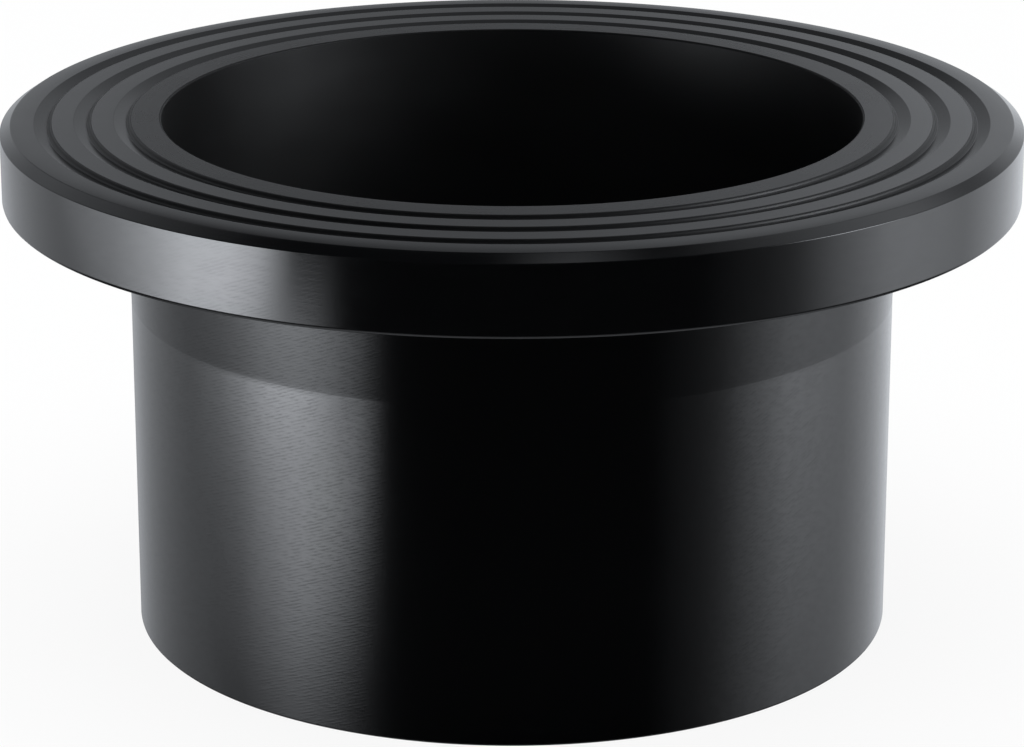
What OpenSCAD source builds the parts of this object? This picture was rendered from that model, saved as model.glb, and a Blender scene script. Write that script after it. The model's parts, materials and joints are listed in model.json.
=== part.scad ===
// Stub end for a loose backing flange: a polyethylene collar with a grooved
// sealing face on a plain spigot that is butt welded to the pipe.
// It stands on the spigot's end with the axis along Z and the collar on top.
// Every radius below is a revolved section, so the whole part is one turning.

/* [Spigot] */
// Outside diameter of the spigot, the same as the pipe's
spigot_d = 160; // [150:0.5:166]
// Wall of the spigot, which sets the bore
wall = 7.2; // [5:0.1:12]
// Length from the spigot's end to the sealing face
overall_h = 109; // [80:0.5:160]
// Edge break round the spigot's end, inside and outside
end_break = 0.5; // [0.2:0.1:1.5]

/* [Collar] */
// Outside diameter of the collar
collar_d = 212; // [205:0.5:240]
// Thickness of the collar
collar_t = 16.4; // [10:0.1:28]
// Width of the bevel round the sealing face, measured along the face
rim_bevel_w = 2.2; // [0.5:0.1:3]
// Height of the bevel round the sealing face, measured down the side
rim_bevel_h = 1.7; // [0.5:0.1:4]
// Edge break round the collar's back face
back_break = 0.9; // [0.2:0.1:1.5]
// Edge break at the mouth of the bore
mouth_break = 0.4; // [0.2:0.1:1]

/* [Sealing grooves] */
// Number of grooves in the sealing face
groove_count = 3; // [1:1:3]
// Distance from one groove to the next
groove_pitch = 8.15; // [7:0.05:8.5]
// Depth of a groove below the sealing face
groove_depth = 0.8; // [0.7:0.05:1]
// Slope of a groove's steep inner wall, in degrees from the face
inner_slope = 65; // [50:1:65]
// Slope of a groove's outer flank, in degrees from the face
outer_slope = 18; // [18:1:40]
// Radius of a groove's floor
groove_floor = 0.6; // [0.3:0.05:0.6]
// Radius of the rounded lips of a groove
groove_lip = 0.5; // [0.2:0.05:0.5]
// Land between the rim bevel and the outermost groove
rim_land = 4.8; // [2:0.1:5]
// How far that land rolls down towards the rim bevel
rim_fall = 0.2; // [0.05:0.05:0.4]

/* [Root] */
// How far the root stands proud of the spigot at the collar
root_rise = 0.55; // [0.3:0.05:1.5]
// Length below the collar's back face over which the root tapers out to the spigot
root_len = 22; // [12:0.5:40]
// Fillet between the root and the collar's back face
root_fillet = 3; // [1:0.1:6]

/* [Hidden] */

// Sides of a full turn and of the small circles in the section
turn_sides = 240;
arc_sides = 64;

// Radii and heights that the sizes above give
spigot_r = spigot_d / 2;
bore_r = spigot_r - wall;
collar_r = collar_d / 2;
face_r = collar_r - rim_bevel_w;
face_z = overall_h;
back_z = face_z - collar_t;
root_r = spigot_r + root_rise;
root_end_z = back_z - root_len;

// The land outside the grooves is an arc that leaves the face on a tangent
land_r = face_r - rim_land;
crown_r = (pow(rim_land, 2) + pow(rim_fall, 2)) / (2 * rim_fall);

// From its outer edge a groove runs in tangents: lip, flank, round floor, steep wall, lip.
// The two straight runs take what the arcs leave of the depth.
arcs_r = groove_floor + groove_lip;
flank_w = (groove_depth - arcs_r * (1 - cos(outer_slope))) / tan(outer_slope);
wall_w = (groove_depth - arcs_r * (1 - cos(inner_slope))) / tan(inner_slope);
// Middle of the floor's arc and the whole width, measured from the outer edge
floor_x = -arcs_r * sin(outer_slope) - flank_w;
floor_z = groove_floor - groove_depth;
groove_w = arcs_r * sin(inner_slope) + wall_w - floor_x;
// How far the cutter stands above the face
cut_above = 1;

// Section of the turned blank, without its grooves, its crowned land and its root fillet
module blank_section() {
    polygon([
        [bore_r + end_break, 0],
        [spigot_r - end_break, 0],
        [spigot_r, end_break],
        [spigot_r, root_end_z],
        [root_r, back_z - root_fillet],
        [root_r, back_z],
        [collar_r - back_break, back_z],
        [collar_r, back_z + back_break],
        [collar_r, face_z - rim_bevel_h],
        [face_r, face_z - rim_fall],
        [land_r, face_z - rim_fall],
        [land_r, face_z],
        [bore_r + mouth_break, face_z],
        [bore_r, face_z - mouth_break],
        [bore_r, end_break]
    ]);
}

// Section of the crowned land outside the grooves
module rim_crown_section() {
    intersection() {
        translate([land_r, face_z - rim_fall])
            square([rim_land, rim_fall]);
        translate([land_r, face_z - crown_r])
            circle(r = crown_r, $fn = turn_sides);
    }
}

// Section of the fillet in the corner under the collar
module root_fillet_section() {
    translate([root_r, back_z - root_fillet])
        difference() {
            square(root_fillet);
            translate([root_fillet, 0])
                circle(r = root_fillet, $fn = arc_sides);
        }
}

// Section that cuts one groove, with its outer edge at radius r
module groove_section(r) {
    translate([r, face_z]) {
        translate([floor_x, floor_z])
            circle(r = groove_floor, $fn = arc_sides);
        difference() {
            polygon([
                [-groove_w, cut_above],
                [-groove_w, 0],
                [groove_lip * sin(inner_slope) - groove_w, groove_lip * (cos(inner_slope) - 1)],
                [floor_x - groove_floor * sin(inner_slope), floor_z - groove_floor * cos(inner_slope)],
                [floor_x + groove_floor * sin(outer_slope), floor_z - groove_floor * cos(outer_slope)],
                [-groove_lip * sin(outer_slope), groove_lip * (cos(outer_slope) - 1)],
                [0, 0],
                [0, cut_above]
            ]);
            for (edge = [-groove_w, 0])
                translate([edge, -groove_lip])
                    circle(r = groove_lip, $fn = arc_sides);
        }
    }
}

// The whole part: collar, grooved sealing face, root, spigot and bore
module stub_end() {
    color([0.05, 0.05, 0.055])
        rotate_extrude($fn = turn_sides)
            difference() {
                union() {
                    blank_section();
                    rim_crown_section();
                    root_fillet_section();
                }
                for (i = [0 : groove_count - 1])
                    groove_section(land_r - i * groove_pitch);
            }
}

stub_end();
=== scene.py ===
# Stub end in turned black polyethylene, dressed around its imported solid
import json
import math

import bpy
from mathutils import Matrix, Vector


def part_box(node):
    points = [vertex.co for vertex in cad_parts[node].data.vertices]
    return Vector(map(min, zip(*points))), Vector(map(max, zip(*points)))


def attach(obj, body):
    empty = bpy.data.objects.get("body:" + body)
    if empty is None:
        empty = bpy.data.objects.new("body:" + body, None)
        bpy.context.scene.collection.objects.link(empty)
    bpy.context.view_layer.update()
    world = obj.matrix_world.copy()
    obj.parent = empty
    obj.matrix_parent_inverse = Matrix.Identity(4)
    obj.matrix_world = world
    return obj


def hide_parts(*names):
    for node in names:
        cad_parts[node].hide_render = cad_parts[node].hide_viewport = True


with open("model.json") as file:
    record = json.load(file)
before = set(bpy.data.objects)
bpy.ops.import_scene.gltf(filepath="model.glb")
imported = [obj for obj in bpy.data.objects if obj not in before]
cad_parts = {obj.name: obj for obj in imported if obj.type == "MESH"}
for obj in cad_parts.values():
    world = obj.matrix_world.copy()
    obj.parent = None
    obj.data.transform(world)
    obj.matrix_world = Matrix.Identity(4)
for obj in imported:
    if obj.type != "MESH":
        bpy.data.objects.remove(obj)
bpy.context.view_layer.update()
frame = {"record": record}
scene = bpy.context.scene
scene.view_settings.view_transform = "Standard"
mm = 0.001  # the settings below are in millimetres, the scene is in metres


def linear(hexColour):
    # sRGB hex to the linear colour that the shaders take
    parts = [int(hexColour[i:i + 2], 16) / 255 for i in (1, 3, 5)]
    return [p / 12.92 if p <= 0.04045 else ((p + 0.055) / 1.055) ** 2.4 for p in parts] + [1]


def addNode(tree, kind, settings=None, links=None):
    # settings go to inputs where there is one of that name or number, otherwise to the node itself
    node = tree.nodes.new(kind)
    for key, value in (settings or {}).items():
        if isinstance(key, int) or key in node.inputs:
            node.inputs[key].default_value = value
        else:
            setattr(node, key, value)
    for key, socket in (links or {}).items():
        tree.links.new(socket, node.inputs[key])
    return node


def bareTree(owner):
    owner.use_nodes = True
    owner.node_tree.nodes.clear()
    return owner.node_tree


# The piece is one turning: its half section is drawn first and then spun round the bore's axis
mounts = {m["name"]: m for m in frame["record"]["mounts"]}
nodeLow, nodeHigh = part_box("stub_end")
stubEnd = {
    "collarR": nodeHigh.x / mm,
    "faceZ": nodeHigh.z / mm,
    "backZ": mounts["collar_back"]["pos_m"][2] / mm,
    "spigotR": mounts["spigot"]["dims"]["r_mm"],
    "boreR": mounts["bore"]["dims"]["r_mm"],
    "rimBevel": (2.2, 1.7),        # width and height of the turned-off rim
    "grooves": 3,
    "groovePitch": 8.15,
    "grooveDepth": 0.8,
    "grooveSlopes": (18.0, 65.0),  # outer flank and inner wall, in degrees from the face
    "grooveFloor": 0.6,            # radius at the bottom
    "grooveLip": 0.5,              # radius that rolls each groove's walls onto the face
    "rimLand": 4.8,
    "rimFall": 0.2,                # how far the outer land rolls down to the rim
    "rootRise": 0.55,              # how proud the root stands at the collar
    "rootLength": 22.0,
    "rootFillet": 3.0,
    "creaseRun": 1.0,              # either side of the root's end, to keep the soft crease narrow
    "spigotRound": 0.5,
    "backRound": 0.9,
    "rimRound": 0.12,
    "mouthRound": 0.4,
    "crownSteps": 5,
    "lipSteps": 5,
    "floorSteps": 12,
    "filletSteps": 8,
    "roundSegments": 3,
    "turnSteps": 384,
    "mergeGap": 0.001,             # points closer than this are one
    "smoothUnder": 38.0,           # edges that turn less than this are shaded smooth
}
pen = {"x": 0.0, "z": 0.0}


def penDown(x, z):
    # a small plane collapsed to a single point, which the section grows from
    bpy.ops.object.select_all(action="DESELECT")
    bpy.ops.mesh.primitive_plane_add(size=mm, location=(0, 0, 0))
    bpy.ops.object.mode_set(mode="EDIT")
    bpy.ops.mesh.select_mode(type="VERT")
    bpy.ops.mesh.select_all(action="SELECT")
    bpy.ops.mesh.merge(type="CENTER")
    bpy.ops.transform.translate(value=(x * mm, 0, z * mm))
    pen.update(x=x, z=z)
    return bpy.context.object


def lineTo(x, z):
    step = ((x - pen["x"]) * mm, 0, (z - pen["z"]) * mm)
    bpy.ops.mesh.extrude_vertices_move(TRANSFORM_OT_translate={"value": step})
    pen.update(x=x, z=z)


def arcAbout(x, z, degrees, steps):
    # turns the pen about a centre, anticlockwise in the X-Z plane
    turn = math.radians(degrees)
    bpy.ops.mesh.spin(steps=steps, angle=turn, center=(x * mm, 0, z * mm), axis=(0, 1, 0))
    dx, dz = pen["x"] - x, pen["z"] - z
    pen.update(x=x + dx * math.cos(turn) - dz * math.sin(turn),
               z=z + dx * math.sin(turn) + dz * math.cos(turn))


def roundCorner(piece, x, z, size):
    bpy.ops.mesh.select_all(action="DESELECT")
    bpy.ops.object.mode_set(mode="OBJECT")
    corner = Vector((x * mm, 0, z * mm))
    nearest = min(piece.data.vertices, key=lambda v: (v.co - corner).length)
    nearest.select = True
    bpy.ops.object.mode_set(mode="EDIT")
    bpy.ops.mesh.bevel(offset=size * mm, segments=stubEnd["roundSegments"], affect="VERTICES")


def grooveRuns():
    # straight lengths of the outer flank and the inner wall, and the width over both lips
    s = stubEnd
    flankTurn, wallTurn = (math.radians(slope) for slope in s["grooveSlopes"])
    arcs = s["grooveFloor"] + s["grooveLip"]
    flank, wall = ((s["grooveDepth"] - arcs * (1 - math.cos(turn))) / math.sin(turn)
                   for turn in (flankTurn, wallTurn))
    width = (arcs * (math.sin(flankTurn) + math.sin(wallTurn)) + flank * math.cos(flankTurn)
             + wall * math.cos(wallTurn))
    return flank, wall, width


def drawGroove(outerR):
    # every run is a tangent to the next: lip, flank, round floor, steep wall, lip
    s = stubEnd
    outer, inner = s["grooveSlopes"]
    flankTurn, wallTurn = math.radians(outer), math.radians(inner)
    lip, floorR = s["grooveLip"], s["grooveFloor"]
    flank, wall, width = grooveRuns()
    lineTo(outerR, s["faceZ"])
    arcAbout(outerR, s["faceZ"] - lip, outer, s["lipSteps"])
    lineTo(pen["x"] - flank * math.cos(flankTurn), pen["z"] - flank * math.sin(flankTurn))
    arcAbout(pen["x"] - floorR * math.sin(flankTurn), pen["z"] + floorR * math.cos(flankTurn),
             -outer - inner, s["floorSteps"])
    lineTo(pen["x"] - wall * math.cos(wallTurn), pen["z"] + wall * math.sin(wallTurn))
    arcAbout(outerR - width, s["faceZ"] - lip, inner, s["lipSteps"])


def turnStubEnd():
    s = stubEnd
    bevelW, bevelH = s["rimBevel"]
    faceR = s["collarR"] - bevelW
    fillet, fall, run = s["rootFillet"], s["rimFall"], s["creaseRun"]
    rootR = s["spigotR"] + s["rootRise"]
    rootEndZ = s["backZ"] - s["rootLength"]
    rootLean = s["rootRise"] / (s["rootLength"] - fillet)
    crownR = (s["rimLand"] ** 2 + fall ** 2) / (2 * fall)
    crownTurn = math.degrees(math.asin(s["rimLand"] / crownR))

    piece = penDown(s["boreR"], 0)
    lineTo(s["spigotR"], 0)
    lineTo(s["spigotR"], rootEndZ - run)
    lineTo(s["spigotR"], rootEndZ)
    lineTo(s["spigotR"] + run * rootLean, rootEndZ + run)
    lineTo(rootR, s["backZ"] - fillet)
    arcAbout(rootR + fillet, s["backZ"] - fillet, -90, s["filletSteps"])
    lineTo(s["collarR"], s["backZ"])
    lineTo(s["collarR"], s["faceZ"] - bevelH)
    lineTo(faceR, s["faceZ"] - fall)
    arcAbout(faceR - s["rimLand"], s["faceZ"] - crownR, crownTurn, s["crownSteps"])
    for i in range(s["grooves"]):
        drawGroove(faceR - s["rimLand"] - i * s["groovePitch"])
    lineTo(s["boreR"], s["faceZ"])
    lineTo(s["boreR"], 0)
    bpy.ops.mesh.select_all(action="SELECT")
    bpy.ops.mesh.remove_doubles(threshold=s["mergeGap"] * mm)

    roundCorner(piece, s["boreR"], 0, s["spigotRound"])
    roundCorner(piece, s["spigotR"], 0, s["spigotRound"])
    roundCorner(piece, s["collarR"], s["backZ"], s["backRound"])
    roundCorner(piece, s["collarR"], s["faceZ"] - bevelH, s["rimRound"])
    roundCorner(piece, faceR, s["faceZ"] - fall, s["rimRound"])
    roundCorner(piece, s["boreR"], s["faceZ"], s["mouthRound"])

    bpy.ops.mesh.select_all(action="SELECT")
    bpy.ops.mesh.spin(steps=s["turnSteps"], angle=2 * math.pi, center=(0, 0, 0), axis=(0, 0, 1))
    bpy.ops.mesh.select_all(action="SELECT")
    bpy.ops.mesh.remove_doubles(threshold=s["mergeGap"] * mm)
    bpy.ops.mesh.normals_make_consistent(inside=False)
    bpy.ops.object.mode_set(mode="OBJECT")
    bpy.ops.object.shade_smooth_by_angle(angle=math.radians(s["smoothUnder"]))
    weighted = piece.modifiers.new("evenShading", "WEIGHTED_NORMAL")
    weighted.keep_sharp = True
    bpy.ops.object.modifier_apply(modifier=weighted.name)
    piece.name = piece.data.name = "turnedStubEnd"
    print("stub end turned,", len(piece.data.polygons), "faces")
    return piece


stub = turnStubEnd()


# Polyethylene filled with carbon black, turned on a lathe. The waxy black takes a soft satin gloss, and
# the tool leaves rings: feed lines at an even pitch, finer uneven streaks, and a faint cloudiness.
def turnedPolyethylene(name, look):
    material = bpy.data.materials.new(name)
    tree = bareTree(material)
    place = addNode(tree, "ShaderNodeTexCoord").outputs["Object"]
    xyz = addNode(tree, "ShaderNodeSeparateXYZ", links={0: place})
    flat = addNode(tree, "ShaderNodeCombineXYZ", links={"X": xyz.outputs["X"], "Y": xyz.outputs["Y"]})
    radius = addNode(tree, "ShaderNodeVectorMath", {"operation": "LENGTH"}, {0: flat.outputs[0]})
    feed = radius.outputs["Value"] if look["acrossFace"] else xyz.outputs["Z"]

    # the tool moves along feed, so every mark is long round the axis and narrow along it
    marks = addNode(tree, "ShaderNodeCombineXYZ", links={
        "X": xyz.outputs["X"], "Y": xyz.outputs["Y"], "Z": feed})
    stretched = addNode(tree, "ShaderNodeMapping", {
        "Scale": (1 / (look["streakLength"] * mm),) * 2 + (1 / (look["streakWidth"] * mm),)},
        {"Vector": marks.outputs[0]})
    streaks = addNode(tree, "ShaderNodeTexNoise", {
        "Scale": 1.0, "Detail": 2.0, "Roughness": 0.6}, {"Vector": stretched.outputs[0]})
    clouds = addNode(tree, "ShaderNodeTexNoise", {
        "Scale": 1 / (look["cloudSize"] * mm), "Detail": 2.0}, {"Vector": place})

    # feed lines, which climb like a thread with many starts, and which the streaks break into dashes
    behind = addNode(tree, "ShaderNodeMath", {"operation": "MULTIPLY", 1: -1.0}, {0: xyz.outputs["Y"]})
    turn = addNode(tree, "ShaderNodeMath", {"operation": "ARCTAN2"},
                   {0: xyz.outputs["X"], 1: behind.outputs[0]})
    climb = addNode(tree, "ShaderNodeMath", {
        "operation": "MULTIPLY_ADD", 1: look["starts"] * look["pitch"] * mm / (2 * math.pi)},
        {0: turn.outputs[0], 2: feed})
    shaken = addNode(tree, "ShaderNodeMath", {"operation": "MULTIPLY_ADD", 1: look["pitch"] * mm},
                     {0: streaks.outputs["Fac"], 2: climb.outputs[0]})
    along = addNode(tree, "ShaderNodeCombineXYZ", links={"Z": shaken.outputs[0]})
    lines = addNode(tree, "ShaderNodeTexWave", {
        "wave_type": "BANDS", "bands_direction": "Z", "wave_profile": "SIN",
        "Scale": math.pi / 10 / (look["pitch"] * mm)}, {"Vector": along.outputs[0]})
    broken = addNode(tree, "ShaderNodeMapRange", {"From Min": 0.38, "From Max": 0.62},
                     {"Value": streaks.outputs["Fac"]})
    dashes = addNode(tree, "ShaderNodeMath", {"operation": "MULTIPLY"}, {
        0: lines.outputs["Fac"], 1: broken.outputs["Result"]})

    # marks and clouds, each centred on zero, change the gloss a little
    gloss = look["roughness"]
    for source, share in ((streaks, "streakGloss"), (clouds, "cloudGloss")):
        centred = addNode(tree, "ShaderNodeMath", {"operation": "SUBTRACT", 1: 0.5},
                          {0: source.outputs["Fac"]})
        added = addNode(tree, "ShaderNodeMath", {"operation": "MULTIPLY_ADD", 1: look[share]},
                        {0: centred.outputs[0]})
        if isinstance(gloss, float):
            added.inputs[2].default_value = gloss
        else:
            tree.links.new(gloss, added.inputs[2])
        gloss = added.outputs[0]

    # scuffed crests of the marks scatter a trace more light than the bare black
    bare, scuffed = (linear(c) for c in look["colours"])
    tone = addNode(tree, "ShaderNodeMix", {"data_type": "RGBA", 6: bare, 7: scuffed},
                   {0: streaks.outputs["Fac"]}).outputs[2]

    ridged = addNode(tree, "ShaderNodeBump", {"Strength": 1.0, "Distance": look["lineDepth"] * mm},
                     {"Height": dashes.outputs[0]})
    bumped = addNode(tree, "ShaderNodeBump", {"Strength": 1.0, "Distance": look["streakDepth"] * mm},
                     {"Height": streaks.outputs["Fac"], "Normal": ridged.outputs["Normal"]})
    shader = addNode(tree, "ShaderNodeBsdfPrincipled", {"IOR": 1.5, "Specular IOR Level": look["specular"]}, {
        "Base Color": tone, "Roughness": gloss, "Normal": bumped.outputs["Normal"]})
    if look["dashDull"]:
        # torn dashes shine less than the ground; as they cover about a quarter, the mean stays the same
        shine = addNode(tree, "ShaderNodeMath", {
            "operation": "MULTIPLY_ADD", 1: -look["dashDull"], 2: look["specular"] + look["dashDull"] / 4},
            {0: dashes.outputs[0]})
        tree.links.new(shine.outputs[0], shader.inputs["Specular IOR Level"])
    addNode(tree, "ShaderNodeOutputMaterial", links={"Surface": shader.outputs["BSDF"]})
    return material


# The facing cut runs across the face, the side cut climbs along the axis. Lengths are in mm.
plainBlack = ("#040405", "#090a0b")
facingCut = {"acrossFace": True, "colours": plainBlack, "pitch": 0.7, "starts": 0, "streakLength": 60,
             "streakWidth": 0.8, "cloudSize": 12, "streakGloss": 0.03, "cloudGloss": 0.04,
             "lineDepth": 0.00005, "streakDepth": 0.0004, "dashDull": 0.0}
sideCut = {"acrossFace": False, "colours": plainBlack, "pitch": 0.72, "starts": -272, "streakLength": 2.2,
           "streakWidth": 0.7, "cloudSize": 14, "streakGloss": 0.04, "cloudGloss": 0.04,
           "lineDepth": 0.0018, "streakDepth": 0.0012, "dashDull": 0.14}
finishes = {
    "faceTurnedPolyethylene": {**facingCut, "roughness": 0.17, "specular": 0.5, "cloudGloss": 0.06},
    "grooveTurnedPolyethylene": {**facingCut, "roughness": 0.17, "specular": 0.48},
    "grooveWallPolyethylene": {**facingCut, "roughness": 0.46, "specular": 0.42},
    "wallEndPolyethylene": {**facingCut, "roughness": 0.27, "specular": 0.36, "cloudGloss": 0.06,
                            "streakDepth": 0.0002},
    "brokenEdgePolyethylene": {**facingCut, "roughness": 0.55, "specular": 0.25},
    "rimTurnedPolyethylene": {**sideCut, "roughness": 0.16, "specular": 0.5, "starts": -360,
                              "streakLength": 4, "streakGloss": 0.06, "cloudGloss": 0.05,
                              "lineDepth": 0.0015, "dashDull": 0.04},
    "rootTurnedPolyethylene": {**sideCut, "roughness": 0.18, "specular": 0.34, "streakGloss": 0.03,
                               "lineDepth": 0.002, "dashDull": 0.08},
    "spigotTurnedPolyethylene": {**sideCut, "roughness": 0.16, "specular": 0.5, "cloudSize": 16},
    "boreDrawnPolyethylene": {**sideCut, "roughness": 0.37, "specular": 0.9, "pitch": 3.0, "starts": 0,
                              "streakLength": 30, "streakWidth": 6.0, "cloudSize": 20, "streakGloss": 0.06,
                              "cloudGloss": 0.08, "lineDepth": 0.0003, "streakDepth": 0.01,
                              "dashDull": 0.0},
}


# Where one finish ends and the next begins: by how much a face looks up, from 0 to 1, or by height in mm
zones = {"upright": 0.1, "facingUp": 0.3, "level": 0.97, "backSkin": 0.05}


def dressStubEnd(piece):
    s, z = stubEnd, zones
    names = list(finishes)
    for name in names:
        piece.data.materials.append(turnedPolyethylene(name, finishes[name]))
    face, groove, grooveWall, wallEnd, brokenEdge, rim, root, spigot, bore = range(len(names))
    boreLimit = s["boreR"] + s["mouthRound"]
    faceR = s["collarR"] - s["rimBevel"][0]
    groovesR = faceR - s["rimLand"]
    grooveWidth = grooveRuns()[2]
    lastEdge = groovesR - (s["grooves"] - 1) * s["groovePitch"] - grooveWidth
    rimFoot = s["faceZ"] - s["rimBevel"][1] - s["rimRound"]
    rootFoot = s["backZ"] - s["rootLength"]
    for poly in piece.data.polygons:
        radius, height = math.hypot(poly.center.x, poly.center.y) / mm, poly.center.z / mm
        if radius < boreLimit and abs(poly.normal.z) < z["upright"]:
            poly.material_index = bore
        elif radius < boreLimit and poly.normal.z < z["level"]:
            poly.material_index = brokenEdge
        elif height > rimFoot and poly.normal.z > z["facingUp"]:
            if radius < lastEdge:
                poly.material_index = wallEnd
            elif radius < groovesR and (groovesR - radius) % s["groovePitch"] < grooveWidth:
                leansOut = poly.normal.x * poly.center.x + poly.normal.y * poly.center.y > 0
                poly.material_index = grooveWall if leansOut else groove
            else:
                poly.material_index = face
        elif height > s["backZ"] + z["backSkin"]:
            poly.material_index = rim
        elif height > rootFoot:
            poly.material_index = root
        else:
            poly.material_index = spigot
    print("finishes:", ", ".join(names))


dressStubEnd(stub)
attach(stub, "root")
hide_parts("stub_end")


# Floor: plain and white, it only has to carry the soft shadow
floor = {"size": 12000.0, "colour": "#f4f4f4", "whiteShare": 0.9}


def layFloor():
    bpy.ops.object.select_all(action="DESELECT")
    bpy.ops.mesh.primitive_plane_add(size=floor["size"] * mm, location=(0, 0, 0))
    ground = bpy.context.object
    ground.name = "floor"
    ground.visible_glossy = False  # the piece mirrors the studio's sides, not a white table under it
    ground.visible_shadow = False
    material = bpy.data.materials.new("paperFloor")
    tree = bareTree(material)
    rays = addNode(tree, "ShaderNodeLightPath")
    seen = addNode(tree, "ShaderNodeMath", {"operation": "ADD"}, {
        0: rays.outputs["Is Camera Ray"], 1: rays.outputs["Is Glossy Ray"]})
    seen = addNode(tree, "ShaderNodeMath", {"operation": "ADD"}, {
        0: seen.outputs[0], 1: rays.outputs["Is Transmission Ray"]})
    share = addNode(tree, "ShaderNodeMath", {"operation": "MULTIPLY", 1: floor["whiteShare"]},
                    {0: seen.outputs[0]})
    paper = addNode(tree, "ShaderNodeBsdfDiffuse", {"Color": linear(floor["colour"])})
    white = addNode(tree, "ShaderNodeEmission", {"Strength": 1.0})
    lit = addNode(tree, "ShaderNodeMixShader", links={
        0: share.outputs[0], 1: paper.outputs[0], 2: white.outputs[0]})
    # seen from underneath the floor is clear, so that the piece can be looked at from below
    under = addNode(tree, "ShaderNodeNewGeometry").outputs["Backfacing"]
    clear = addNode(tree, "ShaderNodeBsdfTransparent")
    shown = addNode(tree, "ShaderNodeMixShader", links={0: under, 1: lit.outputs[0], 2: clear.outputs[0]})
    addNode(tree, "ShaderNodeOutputMaterial", links={"Surface": shown.outputs[0]})
    ground.data.materials.append(material)
    print("floor laid")


layFloor()


def shadeBore():
    # the patch of floor that the piece stands on, with painted shade: near-black, standing in for the shadow
    # on the floor inside the bore, and only for the gloss there
    bpy.ops.object.select_all(action="DESELECT")
    bpy.ops.mesh.primitive_circle_add(radius=stubEnd["spigotR"] * mm, fill_type="NGON", location=(0, 0, -mm))
    patch = bpy.context.object
    patch.name = "floorUnderBore"
    patch.visible_camera = patch.visible_diffuse = patch.visible_shadow = False
    material = bpy.data.materials.new("shadedPaper")
    tree = bareTree(material)
    # painted shade: this near-black is the shadow the piece casts on the floor inside its bore, not the
    # floor's own colour
    dark = addNode(tree, "ShaderNodeBsdfDiffuse", {"Color": linear("#101010")})
    addNode(tree, "ShaderNodeOutputMaterial", links={"Surface": dark.outputs[0]})
    patch.data.materials.append(material)


shadeBore()


# Lamps: bearing is counted from the camera side, negative to the left, and rise from the horizon. Glow is
# what the lamp's face shows, and across and upward are its share by bearing and by rise, seen from the piece.
coolWhite = "#f3f7fd"
lamps = {
    "keyStrip": {"bearing": -77, "rise": -4, "away": 2.0, "glow": 11.2,
                 "across": {-118: 0.0, -105: 0.09, -95: 0.19, -84: 0.44, -73: 0.85, -64: 1.0, -56: 0.85,
                            -47.5: 0.0},
                 "upward": {-19: 0.0, -17.4: 0.9, -16.5: 1.0, 0: 1.0, 11: 0.0}},
    "keyStripFoot": {"bearing": -73, "rise": -20, "away": 2.0, "glow": 5.4,
                     "across": {-108: 0.0, -96: 0.07, -86: 0.16, -75: 0.5, -65: 0.92, -56: 1.0, -48: 0.9,
                                -39: 0.0},
                     "upward": {-24: 0.0, -22.6: 0.5, -21.6: 0.84, -20.6: 1.0, -19.5: 0.96, -18.8: 0.7,
                                -18: 0.0}},
    "rightBox": {"bearing": 90, "rise": 10, "away": 2.0, "glow": 4.2,
                 "across": {62: 0.0, 88: 1.0, 118: 0.0},
                 "upward": {-27: 0.0, -23: 0.09, -20: 0.22, -16.5: 0.37, -6: 0.43, 8: 0.43, 24: 0.0}},
    "boreBox": {"bearing": 77, "rise": 18, "away": 2.0, "glow": 11.0,
                "across": {61: 0.0, 71: 1.0, 83: 1.0, 95: 0.0},
                "upward": {4: 0.0, 10: 1.0, 26: 1.0, 36: 0.0}},
    "upperRightBox": {"bearing": 131, "rise": 46, "away": 2.0, "glow": 1.15,
                      "across": {112: 0.0, 121: 1.0, 129: 1.0, 135: 0.55, 141: 0.5, 148: 0.35, 154: 0.0},
                      "upward": {17: 0.0, 23: 0.5, 30: 0.5, 40: 1.0, 50: 0.9, 60: 0.5, 74: 0.0}},
    "upperLeftBox": {"bearing": -134, "rise": 40, "away": 2.0, "glow": 0.5,
                     "across": {-154: 0.0, -143: 1.0, -126: 1.0, -114: 0.0},
                     "upward": {18: 0.0, 27: 1.0, 42: 0.9, 52: 0.6, 64: 0.0}},
    "backBox": {"bearing": 170, "rise": 40, "away": 2.0, "glow": 0.25,
                "across": {148: 0.0, 160: 1.0, 174: 1.0, 182: 0.5, 188: 0.0},
                "upward": {19: 0.0, 24: 1.0, 48: 1.0, 62: 0.0}},
    "overheadCard": {"bearing": 80, "rise": 83, "away": 2.0, "glow": 1.35,
                     "across": {72: 0.0, 80: 1.0, 88: 0.0}, "upward": {75: 0.0, 83: 1.0, 91: 0.0}},
}
topSoftBox = {"height": 2.0, "size": 2.6, "glow": 2.4}  # lights the floor and anything pale
lampTarget = Vector((0, 0, 0.06))


def rampStops(ramp, stops):
    while len(ramp.elements) < len(stops):
        ramp.elements.new(1.0)
    for element, (spot, level) in zip(ramp.elements, sorted(stops)):
        element.position = spot
        element.color = (level, level, level, 1)


def hangLamp(name, spot, size, glow):
    bpy.ops.object.light_add(type="AREA", location=spot)
    light = bpy.context.object
    light.name = name
    light.rotation_euler = (lampTarget - spot).to_track_quat("-Z", "Y").to_euler()
    light.data.shape = "RECTANGLE"
    light.data.size, light.data.size_y = size
    light.data.energy = glow * math.pi * size[0] * size[1]
    light.visible_camera = False
    return light


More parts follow.
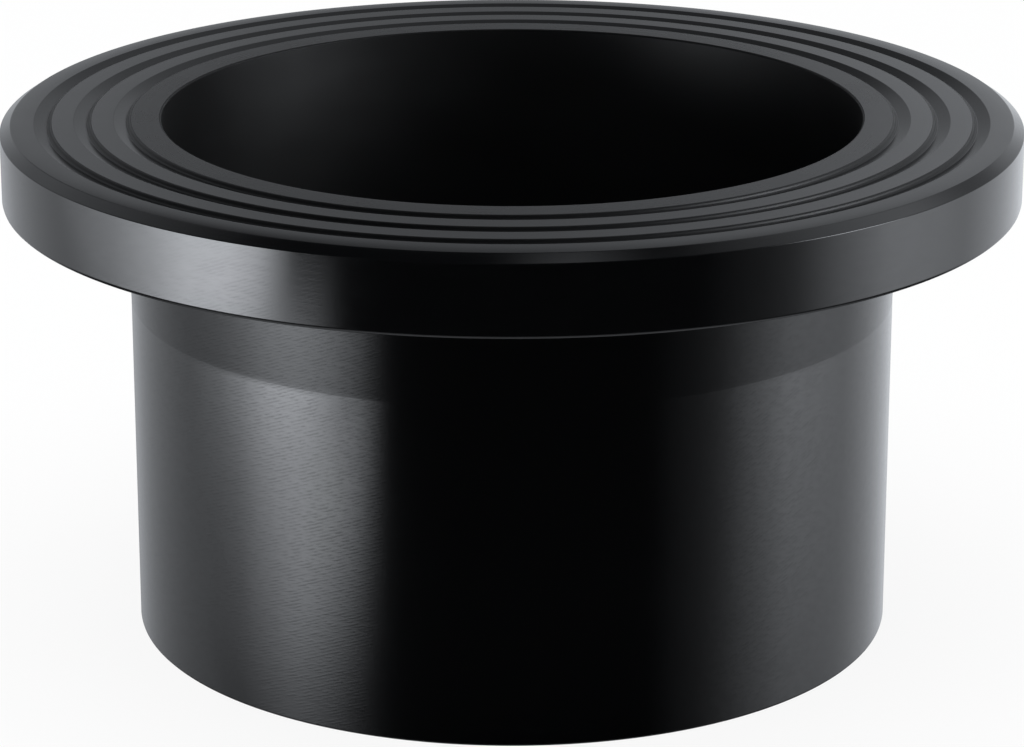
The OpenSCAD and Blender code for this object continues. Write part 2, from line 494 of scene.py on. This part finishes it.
def hangGlossLamp(name, lamp):
    # seen by the gloss alone: its face fades by angle, across and upward
    bearing, rise, away = math.radians(lamp["bearing"]), math.radians(lamp["rise"]), lamp["away"]
    out = Vector((math.sin(bearing) * math.cos(rise), -math.cos(bearing) * math.cos(rise), math.sin(rise)))
    offsets, size = {}, []
    for key, middle in (("across", lamp["bearing"]), ("upward", lamp["rise"])):
        offsets[key] = {math.tan(math.radians(turn - middle)) * away: level
                        for turn, level in lamp[key].items()}
        size.append(2 * max(abs(offset) for offset in offsets[key]))
    light = hangLamp(name, lampTarget + out * away, size, lamp["glow"])
    light.visible_diffuse = False
    light.data.color = linear(coolWhite)[:3]
    tree = bareTree(light.data)
    spot = addNode(tree, "ShaderNodeNewGeometry").outputs["Parametric"]
    split = addNode(tree, "ShaderNodeSeparateXYZ", links={0: spot})
    shares = []
    for key, axis, length in (("across", "X", size[0]), ("upward", "Y", size[1])):
        ramp = addNode(tree, "ShaderNodeValToRGB", links={"Fac": split.outputs[axis]})
        rampStops(ramp.color_ramp, [(offset / length + 0.5, level) for offset, level in offsets[key].items()])
        shares.append(ramp.outputs["Color"])
    share = addNode(tree, "ShaderNodeMath", {"operation": "MULTIPLY"}, {0: shares[0], 1: shares[1]})
    face = addNode(tree, "ShaderNodeEmission", links={"Strength": share.outputs[0]})
    addNode(tree, "ShaderNodeOutputLight", links={"Surface": face.outputs[0]})


for name, lamp in lamps.items():
    hangGlossLamp(name, lamp)
topLight = hangLamp("topSoftBox", Vector((0, 0, topSoftBox["height"])),
                    (topSoftBox["size"], topSoftBox["size"]), topSoftBox["glow"])
topLight.visible_glossy = False
print("lamps hung:", ", ".join(lamps), "and topSoftBox")

# Studio walls: what the gloss sees, by bearing from the camera side (dark in front) and by height.
# The upright sides of the piece mirror the low ring, and the sealing face mirrors the high one.
walls = {
    "lowRing": {
        "byBearing": {-180: 0.34, -174: 0.55, -165: 0.65, -155: 0.74, -105: 0.75, -80: 0.3, -45: 0.0, 42: 0.0,
                      58: 0.2, 75: 0.7, 95: 1.0, 125: 1.1, 150: 1.2, 164: 1.1, 174: 0.79, 180: 0.34},
        "byRise": {-35: 0.0, -27: 0.5, -23: 0.75, -19.5: 0.92, -16.5: 1.0, -8: 1.0, 2: 0.5, 10: 0.0}},
    "highRing": {
        "byBearing": {-180: 0.33, -177: 0.39, -175: 0.49, -173: 0.6, -164: 0.76, -151: 0.74, -137: 0.4,
                      -115: 0.3, -95: 0.0, 95: 0.0, 115: 0.4, 137: 0.5, 151: 1.0, 164: 1.1, 173: 0.8,
                      175: 0.65, 177: 0.48, 180: 0.33},
        "byRise": {-8: 0.0, 2: 0.5, 10: 0.8, 16: 0.69, 19: 0.62, 22: 0.2, 26: 0.05, 60: 0.04, 70: 0.0}},
    "frontRing": {  # dim, for the face when it is looked at from behind
        "byBearing": {-100: 0.0, -60: 1.0, 60: 1.0, 100: 0.0},
        "byRise": {4: 0.0, 10: 0.14, 20: 0.14, 26: 0.0}},
    "ground": {-90: 0.6, -60: 0.55, -38: 0.0},  # the pale floor, for what looks steeply down
    "onPaleThings": 0.3,
    "colour": coolWhite,
}


def paintWalls():
    world = bpy.data.worlds.new("studio")
    scene.world = world
    world.cycles.sampling_method = "NONE"  # its levels depend on the kind of ray
    tree = bareTree(world)
    way = addNode(tree, "ShaderNodeTexCoord").outputs["Generated"]
    turned = addNode(tree, "ShaderNodeMapping", {"Rotation": (0, 0, math.pi / 2)}, {"Vector": way})
    bearing = addNode(tree, "ShaderNodeTexGradient", {"gradient_type": "RADIAL"},
                      {"Vector": turned.outputs[0]})
    height = addNode(tree, "ShaderNodeSeparateXYZ", links={0: way})
    halved = addNode(tree, "ShaderNodeMath", {"operation": "MULTIPLY_ADD", 1: 0.5, 2: 0.5},
                     {0: height.outputs["Z"]})

    def byAngle(source, stops, placed):
        band = addNode(tree, "ShaderNodeValToRGB", links={"Fac": source})
        rampStops(band.color_ramp, [(placed(turn), level) for turn, level in stops.items()])
        return band.outputs["Color"]

    def placeRise(turn):
        return math.sin(math.radians(turn)) / 2 + 0.5

    pale = byAngle(halved.outputs[0], walls["ground"], placeRise)
    for ring in (walls["lowRing"], walls["highRing"], walls["frontRing"]):
        around = byAngle(bearing.outputs["Fac"], ring["byBearing"], lambda turn: turn / 360 + 0.5)
        upward = byAngle(halved.outputs[0], ring["byRise"], placeRise)
        pale = addNode(tree, "ShaderNodeMath", {"operation": "MULTIPLY_ADD"},
                       {0: around, 1: upward, 2: pale}).outputs[0]
    rays = addNode(tree, "ShaderNodeLightPath")
    glow = addNode(tree, "ShaderNodeMath", {"operation": "ADD"}, {
        0: rays.outputs["Is Camera Ray"], 1: rays.outputs["Is Transmission Ray"]})
    glow = addNode(tree, "ShaderNodeMath", {"operation": "MULTIPLY_ADD"}, {
        0: rays.outputs["Is Glossy Ray"], 1: pale, 2: glow.outputs[0]})
    glow = addNode(tree, "ShaderNodeMath", {"operation": "MULTIPLY_ADD", 1: walls["onPaleThings"]}, {
        0: rays.outputs["Is Diffuse Ray"], 2: glow.outputs[0]})
    back = addNode(tree, "ShaderNodeBackground", {"Color": linear(walls["colour"])},
                   {"Strength": glow.outputs[0]})
    addNode(tree, "ShaderNodeOutputWorld", links={"Surface": back.outputs[0]})
    print("walls painted")


paintWalls()

# Camera: in front and above, looking down on the sealing face
camera = {"place": (0, -808.3, 317.46), "downTilt": 18.225, "lens": 140.7, "sensor": 36.0}


def placeCamera():
    bpy.ops.object.camera_add(location=[c * mm for c in camera["place"]],
                              rotation=(math.radians(90 - camera["downTilt"]), 0, 0))
    scene.camera = bpy.context.object
    scene.camera.data.lens = camera["lens"]
    scene.camera.data.sensor_width = camera["sensor"]
    print("camera placed")


placeCamera()
